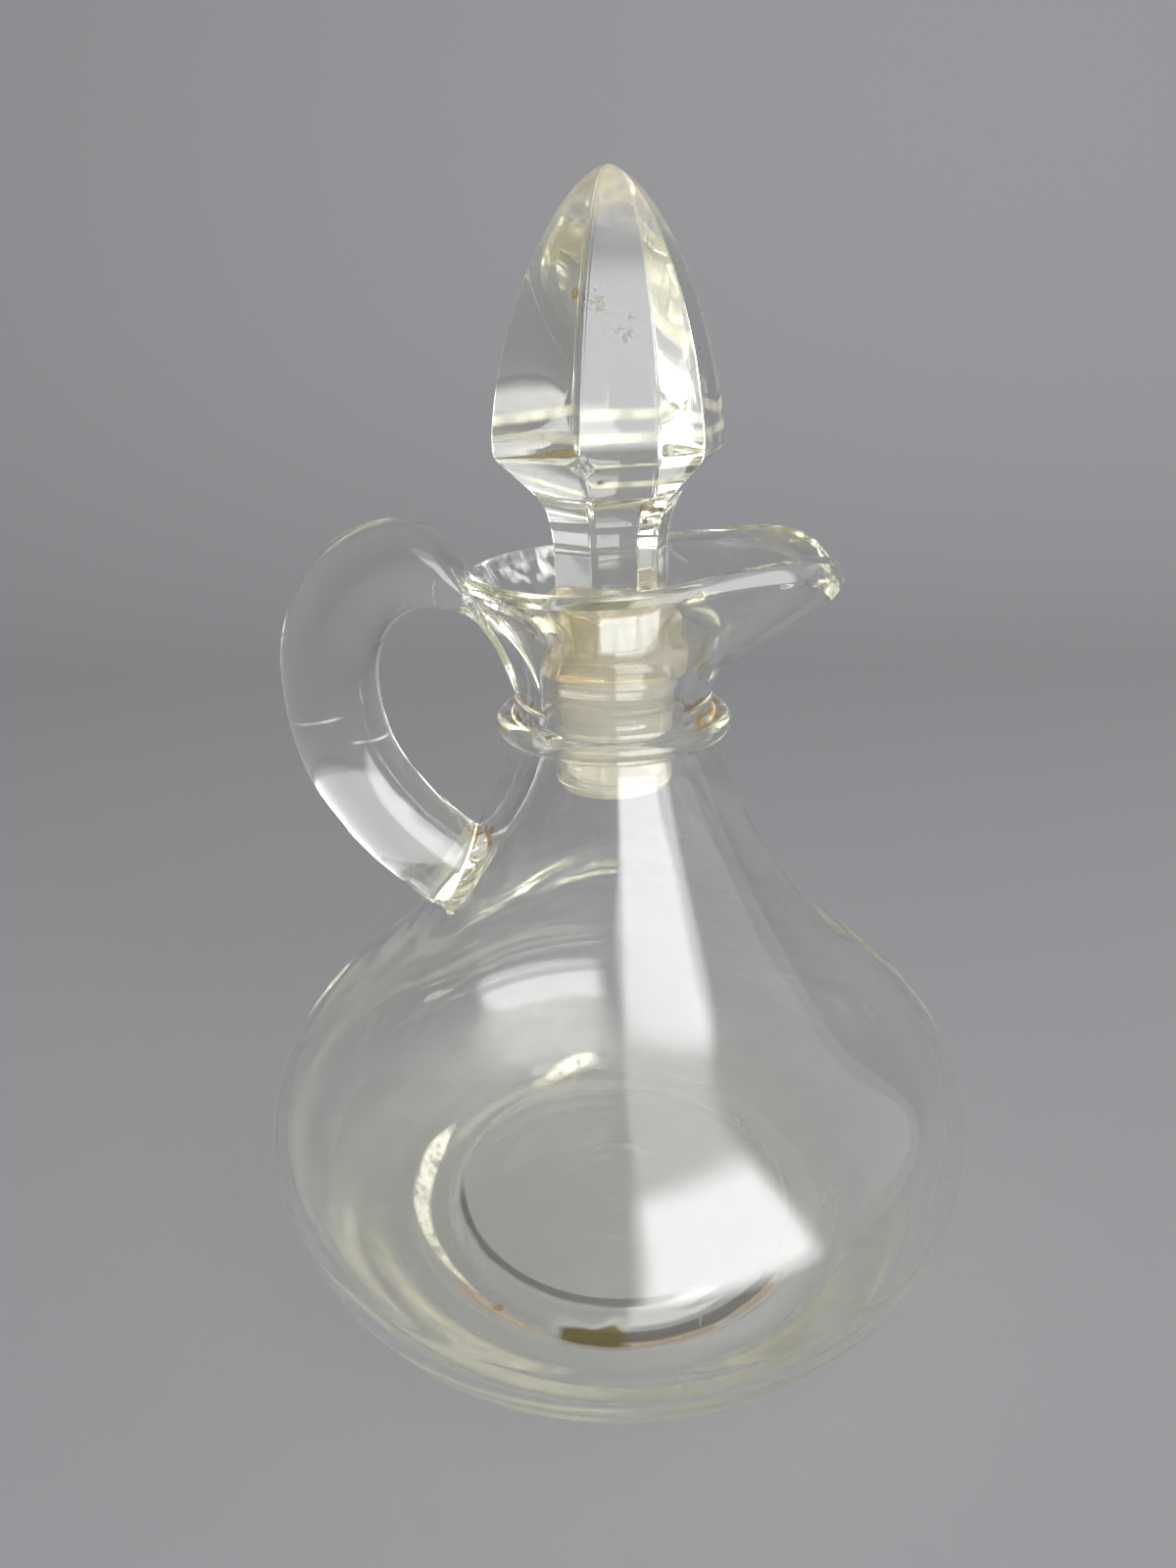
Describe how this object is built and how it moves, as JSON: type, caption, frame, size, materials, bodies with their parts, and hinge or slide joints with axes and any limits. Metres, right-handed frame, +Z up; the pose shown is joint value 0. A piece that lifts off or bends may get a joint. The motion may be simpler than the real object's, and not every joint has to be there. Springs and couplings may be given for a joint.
{
  "type": "oil cruet",
  "caption": "Squat onion-shaped clear glass cruet with a collar ring, pouring spout and loop handle, closed by a faceted glass stopper in a plastic sleeve.",
  "frame": {"origin": "centre of the foot, on the surface that the cruet stands on", "axes": "+Z up along the bottle's axis, +X towards the spout, the handle along -X"},
  "size_m": [0.1, 0.1, 0.1472],
  "materials": {
    "bottle_glass": "clear, smooth, faint yellow-green tint in the thick edges",
    "stopper_glass": "clear, smooth flat facets",
    "sleeve_plastic": "translucent, aged from white to tan and amber"
  },
  "bodies": {
    "bottle": {"bottle": "bottle_glass", "handle": "bottle_glass"},
    "sleeve": {"stopper_sleeve": "sleeve_plastic"},
    "stopper": {"stopper": "stopper_glass"}
  },
  "joints": [
    {"name": "stopper_lift", "type": "slide", "parent": "bottle", "child": "sleeve", "axis": [0, 0, 1], "range_m": [0, 0.04]},
    {"name": "stopper_turn", "type": "hinge", "parent": "sleeve", "child": "stopper", "pos_m": [0, 0, 0.0763], "axis": [0, 0, 1], "continuous": true}
  ]
}
